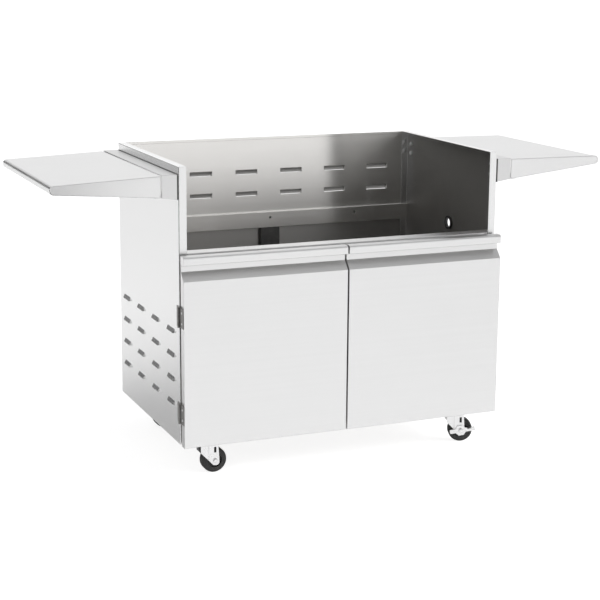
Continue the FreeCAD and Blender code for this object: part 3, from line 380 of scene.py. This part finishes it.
def brushed_sheet(name, axis, tone, tint=PLAIN, low=0.275, high=0.305, edge=SHEET_EDGE,
                  shade_where=None, shade_tone=0.4, tint_where=None):
    """Brushed stainless sheet with its grain along one axis, and painted shade, a darker warm colour that
    is also rougher, on the faces that a mask picks.
    """
    material, tree, shader = new_material(name)
    grain = placed(tree, GRAIN, {"Stretch": grain_along(axis)})
    edges = placed(tree, EDGES, {"Radius": edge})
    haze = placed(tree, HANDLING)["Haze"]
    streaked = maths(tree, "ADD", maths(tree, "MULTIPLY", grain["Streaks"], STREAK_SHARE),
                     maths(tree, "MULTIPLY", grain["Clouds"], CLOUD_SHARE))
    level = ranged(tree, streaked, *TONE_LEVELS, 0.0, 1.0)
    colour = blended(tree, level, grey(DARK_TONE * tone), grey(LIGHT_TONE * tone))
    if tint != PLAIN:
        tinted = tint_where(tree) if tint_where else 1.0
        colour = blended(tree, tinted, colour, tint + (1.0,), "MULTIPLY")
    rough = ranged(tree, grain["Streaks"], *STREAK_LEVELS, low, high)
    rough = maths(tree, "ADD", rough, maths(tree, "MULTIPLY", haze, HAZE_ROUGHER))
    # painted shade: the faces that the mask picks take a darker warm colour, and a little more roughness
    if shade_where:
        shade_mask = shade_where(tree)
        shade_colour = tuple(shade_tone * part for part in WARM) + (1.0,)
        colour = blended(tree, shade_mask, colour, shade_colour)
        rough = maths(tree, "ADD", rough, maths(tree, "MULTIPLY", shade_mask, SHADED_ROUGHER))
    # a lighter line along the edges: wear, and a painted highlight
    edge_toned = blended(tree, maths(tree, "MULTIPLY", edges["Mask"], EDGE_WEAR_AND_HIGHLIGHT), colour, grey(EDGE_WEAR_HIGHLIGHT_TONE))
    tree.links.new(edge_toned, shader.inputs["Base Color"])
    tree.links.new(rough, shader.inputs["Roughness"])
    bump = node(tree, "ShaderNodeBump", {
        "Strength": GRAIN_BUMP, "Distance": GRAIN_DEPTH, "Height": grain["Lines"],
        "Normal": edges["Normal"],
    })
    tree.links.new(bump.outputs["Normal"], shader.inputs["Normal"])
    shader.inputs["Metallic"].default_value = 1.0
    shader.inputs["Anisotropic"].default_value = GRAIN_DRAW
    across = dict(zip("XYZ", ACROSS_GRAIN[axis]))
    tree.links.new(node(tree, "ShaderNodeCombineXYZ", across).outputs[0], shader.inputs["Tangent"])
    return material


def zinc_plate(name, tone):
    """Bright zinc plating with a faint crystal pattern."""
    material, tree, shader = new_material(name)
    place = object_place(tree)
    cells = node(tree, "ShaderNodeTexVoronoi", {"Vector": place, "Scale": ZINC_CELLS}).outputs["Color"]
    patch = node(tree, "ShaderNodeSeparateColor", {0: cells}).outputs[0]
    edges = placed(tree, EDGES, {"Radius": ZINC_EDGE})
    colour = blended(tree, patch, grey(ZINC_DARK * tone), (tone, tone, ZINC_BLUE * tone, 1.0))
    edge_toned = blended(tree, maths(tree, "MULTIPLY", edges["Mask"], ZINC_WEAR), colour, grey(ZINC_WORN_TONE))
    tree.links.new(edge_toned, shader.inputs["Base Color"])
    tree.links.new(ranged(tree, patch, 0.0, 1.0, *ZINC_ROUGH), shader.inputs["Roughness"])
    tree.links.new(edges["Normal"], shader.inputs["Normal"])
    shader.inputs["Metallic"].default_value = 1.0
    return material


def moulded_black(name, tone, low, high, grit, depth):
    """Black rubber or plastic with a moulded grit and a little dust."""
    material, tree, shader = new_material(name)
    place = object_place(tree)
    fine = noise(tree, place, grit, 3.0)
    haze = placed(tree, HANDLING, {"Scale": DUST_SCALE})["Haze"]
    edges = placed(tree, EDGES, {"Radius": MOULDED_EDGE})
    colour = blended(tree, fine, *(grey(share * tone) for share in GRIT_TONES))
    dusty = blended(tree, maths(tree, "MULTIPLY", haze, DUST_SHARE), colour, DUST)
    tree.links.new(dusty, shader.inputs["Base Color"])
    tree.links.new(ranged(tree, fine, *GRIT_LEVELS, low, high), shader.inputs["Roughness"])
    bump = node(tree, "ShaderNodeBump", {
        "Strength": GRIT_BUMP, "Distance": depth, "Height": fine, "Normal": edges["Normal"],
    })
    tree.links.new(bump.outputs["Normal"], shader.inputs["Normal"])
    return material


# the faces of the door skins that look down are darker: painted shade
door_sheet = brushed_sheet("door_sheet", "X", 0.88, shade_where=under_faces, shade_tone=0.30)
# the faces of the side panels that look into the cart are darker: painted shade
side_sheet = brushed_sheet("side_sheet", "Y", 0.88, low=0.19, high=0.22, shade_where=inner_faces,
                           shade_tone=0.33)
# a darker copy of the sheet, with a near-black line where the brackets meet the side panels: both painted
# shade
bracket_sheet = brushed_sheet("bracket_sheet", "X", 0.77, shade_where=panel_seams, shade_tone=0.06)
shelf_sheet = brushed_sheet("shelf_sheet", "X", 0.88, edge=SHELF_EDGE)
rail_sheet = brushed_sheet("rail_sheet", "X", 0.95)
# the faces seen in the well take a brighter warm tint, painted light; the hollow sides of the back louvres
# are darker, painted shade
well_sheet = brushed_sheet("well_sheet", "X", 0.86, WELL_WARM_PAINTED_LIGHT, 0.22, 0.25, shade_where=louvre_hollows,
                           shade_tone=0.42, tint_where=well_faces)
# on the lower back panels the faces that look into the cabinet are darker: painted shade
back_sheet = brushed_sheet("back_sheet", "X", 0.86, shade_where=forward_faces, shade_tone=0.53)
# a darker, warmer copy of the sheet for the parts inside and under the cart: painted shade
cabinet_sheet = brushed_sheet("cabinet_sheet", "X", 0.55, WARMER, 0.36, 0.40)
hinge_steel = brushed_sheet("hinge_steel", "Z", 0.36, WARM, 0.33, 0.37)
hardware_zinc = zinc_plate("hardware_zinc", 0.90)
# the centre channel is near-black: painted shade for the dark recess between the lower back panels
channel_painted_shade = moulded_black("channel_painted_shade", 0.045, 0.35, 0.5, 700.0, 0.1 * MM)
tyre_rubber = moulded_black("tyre_rubber", 0.028, 0.5, 0.7, 900.0, 0.15 * MM)
hub_plastic = moulded_black("hub_plastic", 0.022, 0.3, 0.45, 600.0, 0.08 * MM)
grommet_rubber = moulded_black("grommet_rubber", 0.02, 0.4, 0.55, 900.0, 0.1 * MM)
catch_plastic = moulded_black("catch_plastic", 0.05, 0.35, 0.5, 600.0, 0.08 * MM)

FINISHES = {
    "door_skin": door_sheet,
    "door_liner": cabinet_sheet,
    "strike_plate": hardware_zinc,
    "door_magnet": catch_plastic,
    "side_panel": side_sheet,
    "upper_back_panel": well_sheet,
    "back_rail": well_sheet,
    "lower_back_panel": back_sheet,
    "back_centre_channel": channel_painted_shade,
    "floor_pan": cabinet_sheet,
    "base_channel": cabinet_sheet,
    "front_rail": rail_sheet,
    "gas_line_grommet": grommet_rubber,
    "shelf_shell": shelf_sheet,
    "shelf_stiffener": cabinet_sheet,
    "shelf_bracket": bracket_sheet,
    "hinge_fixed_leaves": hinge_steel,
    "hinge_door_leaves": hinge_steel,
    "hinge_pins": hinge_steel,
    "tyre": tyre_rubber,
    "wheel_hub": hub_plastic,
}


def finish_nodes():
    """Gives each solid its finish, by the words that its name ends in."""
    for name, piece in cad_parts.items():
        finish = next((look for words, look in FINISHES.items() if name.endswith(words)), hardware_zinc)
        piece.data.materials.clear()
        piece.data.materials.append(finish)


finish_nodes()


# Screws: heads in straight rows, made by one tree and joined for each body

def screw_row_tree():
    """Domed heads with a hexagon socket, in a row."""
    tree = bpy.data.node_groups.new("screw_row", "GeometryNodeTree")
    inputs = {
        "Start": VECTOR, "Step": VECTOR, "Count": "NodeSocketInt", "Turn": VECTOR,
        "Head Radius": FLOAT, "Head Rise": FLOAT, "Finish": "NodeSocketMaterial",
    }
    for label, kind in inputs.items():
        tree.interface.new_socket(label, in_out="INPUT", socket_type=kind)
    tree.interface.new_socket("Geometry", in_out="OUTPUT", socket_type="NodeSocketGeometry")
    given = tree.nodes.new("NodeGroupInput").outputs
    put = tree.nodes.new("NodeGroupOutput").inputs
    ball = node(tree, "GeometryNodeMeshUVSphere", {
        "Segments": HEAD_SEGMENTS, "Rings": HEAD_RINGS, "Radius": 1.0,
    }).outputs["Mesh"]
    point = node(tree, "GeometryNodeInputPosition").outputs[0]
    sides = node(tree, "ShaderNodeSeparateXYZ", {0: point}).outputs
    above = maths(tree, "MAXIMUM", sides["Z"], 0.0)
    seated = node(tree, "ShaderNodeCombineXYZ", {"X": sides["X"], "Y": sides["Y"], "Z": above}).outputs[0]
    dome = node(tree, "GeometryNodeSetPosition", {"Geometry": ball, "Position": seated}).outputs["Geometry"]
    prism = node(tree, "GeometryNodeMeshCylinder", {
        "Vertices": SOCKET_SIDES, "Radius": SOCKET_RADIUS, "Depth": SOCKET_DEPTH,
    }).outputs["Mesh"]
    socket = node(tree, "GeometryNodeTransform", {"Geometry": prism, "Translation": (0, 0, 1)}).outputs[0]
    head = node(tree, "GeometryNodeMeshBoolean", {"Mesh 1": dome, "Mesh 2": socket}, operation="DIFFERENCE")
    wide = given["Head Radius"]
    size = node(tree, "ShaderNodeCombineXYZ", {"X": wide, "Y": wide, "Z": given["Head Rise"]}).outputs[0]
    row = node(tree, "GeometryNodeMeshLine", {
        "Count": given["Count"], "Start Location": given["Start"], "Offset": given["Step"],
    }, mode="OFFSET").outputs["Mesh"]
    turned = node(tree, "FunctionNodeEulerToRotation", {0: given["Turn"]}).outputs[0]
    heads = node(tree, "GeometryNodeInstanceOnPoints", {
        "Points": row, "Instance": head.outputs["Mesh"], "Rotation": turned, "Scale": size,
    }).outputs["Instances"]
    plain = node(tree, "GeometryNodeRealizeInstances", {"Geometry": heads}).outputs["Geometry"]
    finished = node(tree, "GeometryNodeSetMaterial", {"Geometry": plain, "Material": given["Finish"]})
    tree.links.new(finished.outputs["Geometry"], put["Geometry"])
    return tree


def built(tree, values):
    """The plain mesh that a tree makes from its named values."""
    holder = bpy.data.objects.new(tree.name, bpy.data.meshes.new(tree.name))
    bpy.context.scene.collection.objects.link(holder)
    modifier = holder.modifiers.new(tree.name, "NODES")
    modifier.node_group = tree
    for socket in tree.interface.items_tree:
        if socket.in_out == "INPUT":
            modifier[socket.identifier] = values[socket.name]
    mesh = bpy.data.meshes.new_from_object(holder.evaluated_get(bpy.context.evaluated_depsgraph_get()))
    bpy.data.objects.remove(holder)
    return mesh


def screws(name, body, rows):
    """All the screws of one body; each row is its start, its step, how many, and the way the heads face."""
    joined = bmesh.new()
    for start, step, count, turn in rows:
        values = {
            "Start": start, "Step": step, "Count": count, "Turn": turn,
            "Head Radius": SCREW_RADIUS, "Head Rise": SCREW_RISE, "Finish": hardware_zinc,
        }
        joined.from_mesh(built(SCREW_ROW, values))
    mesh = bpy.data.meshes.new(name)
    joined.to_mesh(mesh)
    joined.free()
    mesh.materials.append(hardware_zinc)
    mesh.shade_smooth()
    mesh.set_sharp_from_angle(angle=SHARP_TURN)
    piece = bpy.data.objects.new(name, mesh)
    bpy.context.scene.collection.objects.link(piece)
    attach(piece, body)


def hinge_rows(side, leaves, place_y):
    """Two screws in each of a side's hinge leaves, on the leaf's outer face."""
    lowest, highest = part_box("%s_%s" % (side, leaves))
    face = LEAF_FACE if side == "right" else -LEAF_FACE
    turn = TO_RIGHT if side == "right" else TO_LEFT
    starts = (lowest[2], highest[2] - LEAF_HEIGHT)
    pitch = LEAF_HEIGHT - 2 * LEAF_SCREW_INSET
    return [((face, place_y, foot + LEAF_SCREW_INSET), (0, 0, pitch), 2, turn) for foot in starts]


def back_rows():
    """Screws round the edges of the back panels."""
    rows = []
    for side in SIDES:
        low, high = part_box("%s_lower_back_panel" % side)
        across = BACK_SCREW_COLUMN if side == "right" else -BACK_SCREW_COLUMN
        pitch = (high[2] - low[2] - 2 * BACK_SCREW_INSET) / (BACK_SCREWS_UP - 1)
        foot = low[2] + BACK_SCREW_INSET
        rows.append(((across, BACK_FACE, foot), (0, 0, pitch), BACK_SCREWS_UP, TO_BACK))
        step = across / (BACK_SCREWS_ACROSS + 1)
        for height in (foot, high[2] - BACK_SCREW_INSET):
            rows.append(((step, BACK_FACE, height), (step, 0, 0), BACK_SCREWS_ACROSS, TO_BACK))
        low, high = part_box("upper_back_panel")
        pitch = (high[2] - low[2] - 2 * UPPER_SCREW_INSET) / (UPPER_SCREWS - 1)
        rows.append(((across, BACK_FACE, low[2] + UPPER_SCREW_INSET), (0, 0, pitch), UPPER_SCREWS, TO_BACK))
    return rows


SCREW_ROW = screw_row_tree()
screws("cart_screws", "cart", back_rows() + [
    row for side in SIDES for row in hinge_rows(side, "hinge_fixed_leaves", FIXED_LEAF_SCREW_Y)
])
for side in SIDES:
    door_rows = hinge_rows(side, "hinge_door_leaves", DOOR_LEAF_SCREW_Y)
    screws("%s_door_screws" % side, "%s_door" % side, door_rows)


# Studio: floor, room light, lamps and camera

def stage_strength(tree, seen, mirrored, unseen):
    """A strength for what is seen straight, one for what shows in metal, and one for the rest."""
    path = node(tree, "ShaderNodeLightPath").outputs
    by_way = maths(tree, "MAXIMUM", path["Is Glossy Ray"], path["Is Transmission Ray"])
    total = maths(tree, "MULTIPLY", path["Is Camera Ray"], seen)
    total = maths(tree, "ADD", total, maths(tree, "MULTIPLY", by_way, mirrored))
    return maths(tree, "ADD", total, maths(tree, "MULTIPLY", path["Is Diffuse Ray"], unseen))


def stage_floor():
    """A white floor, with the dim and lit parts of it that show in the metal."""
    mesh = bpy.data.meshes.new("studio_floor")
    half = FLOOR_HALF
    corners = [(-half, -half, 0), (half, -half, 0), (half, half, 0), (-half, half, 0)]
    mesh.from_pydata(corners, [], [(0, 1, 2, 3)])
    floor = bpy.data.objects.new("studio_floor", mesh)
    bpy.context.scene.collection.objects.link(floor)
    material, tree, shader = new_material("studio_floor_white")
    place = object_place(tree)
    mottled = ranged(tree, noise(tree, place, MOTTLE_SCALE), *MOTTLE_LEVELS, *MOTTLE_TONES)
    sides = node(tree, "ShaderNodeSeparateXYZ", {0: place}).outputs
    slanted = maths(tree, "ADD", sides["X"], maths(tree, "MULTIPLY", sides["Y"], DIM_CORNER_SLANT))
    leftward = ranged(tree, slanted, *DIM_CORNER_EDGE, 0.0, 1.0)
    forward = ranged(tree, sides["Y"], *DIM_CORNER_FRONT, 0.0, 1.0)
    strip = maths(tree, "ADD", sides["X"], maths(tree, "MULTIPLY", sides["Y"], LIT_STRIP_SLANT))
    before = ranged(tree, strip, *LIT_STRIP_START, 1.0, 0.0)
    beyond = ranged(tree, strip, *LIT_STRIP_END, 0.0, 1.0)
    unlit = maths(tree, "MULTIPLY", leftward, maths(tree, "MAXIMUM", before, beyond))
    corner = ranged(tree, maths(tree, "MULTIPLY", unlit, forward), 0.0, 1.0, 1.0, DIM_CORNER_LEVEL)
    rightward = ranged(tree, sides["X"], *BEHIND_ACROSS, 0.0, 1.0)
    backward = ranged(tree, sides["Y"], *BEHIND_DEPTH, 0.0, 1.0)
    behind = ranged(tree, maths(tree, "MULTIPLY", rightward, backward), 0.0, 1.0, 1.0, BEHIND_LEVEL)
    dimmed = maths(tree, "MULTIPLY", corner, behind)
    seen = node(tree, "ShaderNodeLightPath").outputs["Is Camera Ray"]
    mirrored = maths(tree, "MULTIPLY", dimmed, FLOOR_WHITE)
    white = blended(tree, seen, mirrored, grey(FLOOR_GREY))
    tree.links.new(blended(tree, 1.0, white, mottled, "MULTIPLY"), shader.inputs["Base Color"])
    shader.inputs["Roughness"].default_value = FLOOR_ROUGH
    shader.inputs["Specular IOR Level"].default_value = 0.0
    shader.inputs["Emission Color"].default_value = grey(1.0)
    glow = stage_strength(tree, FLOOR_GLOW, maths(tree, "MULTIPLY", dimmed, FLOOR_SHEEN), 0.0)
    tree.links.new(glow, shader.inputs["Emission Strength"])
    mesh.materials.append(material)


def room_light():
    """White all round as seen; in the metal a backdrop, ceiling, front and sides in a dim room."""
    world = bpy.data.worlds.new("studio")
    world.use_nodes = True
    tree = world.node_tree
    background = next(n for n in tree.nodes if n.type == "BACKGROUND")
    background.inputs["Color"].default_value = grey(1.0)
    way = node(tree, "ShaderNodeTexCoord").outputs["Generated"]
    toward = Vector(BACKDROP_WAY).normalized()
    match = node(tree, "ShaderNodeVectorMath", {0: way, 1: toward}, operation="DOT_PRODUCT")
    facing = match.outputs["Value"]
    across, depth, height = node(tree, "ShaderNodeSeparateXYZ", {0: way}).outputs
    dim = ranged(tree, across, *ROOM_LEFT_EDGE, ROOM_DIM_LEFT, ROOM_DIM)
    backdrop = ranged(tree, facing, BACKDROP_EDGE, BACKDROP_FULL, dim, 1.0)
    left = ranged(tree, across, *GAP_ACROSS, 0.0, 1.0)
    beyond = ranged(tree, depth, *GAP_DEPTH, 0.0, 1.0)
    under = ranged(tree, height, *GAP_RISE, 1.0, 0.0)
    gap = maths(tree, "MULTIPLY", maths(tree, "MULTIPLY", left, beyond), under)
    backdrop = maths(tree, "MULTIPLY", backdrop, ranged(tree, gap, 0.0, 1.0, 1.0, GAP_LEVEL))
    ceiling = ranged(tree, height, *CEILING_RISE, 0.0, CEILING_LIGHT)
    ahead = ranged(tree, depth, *FRONT_DEPTH, 0.0, 1.0)
    rightward = ranged(tree, across, *FRONT_ACROSS, 0.0, 1.0)
    low = ranged(tree, height, *FRONT_RISE, FRONT_LIGHT, 0.0)
    front = maths(tree, "MULTIPLY", maths(tree, "MULTIPLY", ahead, rightward), low)
    sideways = ranged(tree, maths(tree, "ABSOLUTE", across), *SIDE_ACROSS, 0.0, SIDE_LIGHT)
    mirrored = backdrop
    for glow in (ceiling, front, sideways):
        mirrored = maths(tree, "MAXIMUM", mirrored, glow)
    tree.links.new(stage_strength(tree, 1.0, mirrored, ROOM_LIGHT), background.inputs["Strength"])
    bpy.context.scene.world = world


def add_lamp(name, lamp, place, shows_in_metal):
    """Puts a lamp at its place, aimed at the cart."""
    holder = bpy.data.objects.new(name, lamp)
    holder.visible_glossy = shows_in_metal
    holder.location = place
    holder.rotation_euler = (Vector(LAMPS_AIM) - Vector(place)).to_track_quat("-Z", "Y").to_euler()
    bpy.context.scene.collection.objects.link(holder)


def key_light():
    """A broad far light from the right: it lights the floor evenly, and the shadow falls to the left."""
    lamp = bpy.data.lights.new("right_key", "SUN")
    lamp.energy = KEY_LIGHT
    lamp.angle = KEY_WIDTH
    add_lamp("right_key", lamp, KEY_PLACE, False)


def fill_light():
    """A soft box at the left, which shows in the metal."""
    lamp = bpy.data.lights.new("left_box", "AREA")
    lamp.shape = "RECTANGLE"
    lamp.size, lamp.size_y = FILL_SIZE
    lamp.energy = FILL_LIGHT
    add_lamp("left_box", lamp, FILL_PLACE, True)


def set_camera():
    """The camera, from its place, its three turns and its lens."""
    lens = bpy.data.cameras.new("photo_view")
    lens.lens = LENS
    lens.sensor_width = SENSOR
    lens.shift_y = SHIFT_UP
    lens.clip_end = 4 * FLOOR_HALF
    right = Vector((math.cos(EYE_YAW), -math.sin(EYE_YAW), 0.0))
    level = math.cos(EYE_PITCH)
    forward = Vector((math.sin(EYE_YAW) * level, math.cos(EYE_YAW) * level, -math.sin(EYE_PITCH)))
    down = forward.cross(right)
    turned = math.cos(EYE_ROLL) * right - math.sin(EYE_ROLL) * down
    lowered = math.sin(EYE_ROLL) * right + math.cos(EYE_ROLL) * down
    camera = bpy.data.objects.new("photo_view", lens)
    camera.matrix_world = Matrix.Translation(EYE) @ Matrix(
        (turned, -lowered, -forward)
    ).transposed().to_4x4()
    bpy.context.scene.collection.objects.link(camera)
    bpy.context.scene.camera = camera


stage_floor()
room_light()
key_light()
fill_light()
set_camera()
bpy.context.scene.view_settings.view_transform = "Standard"
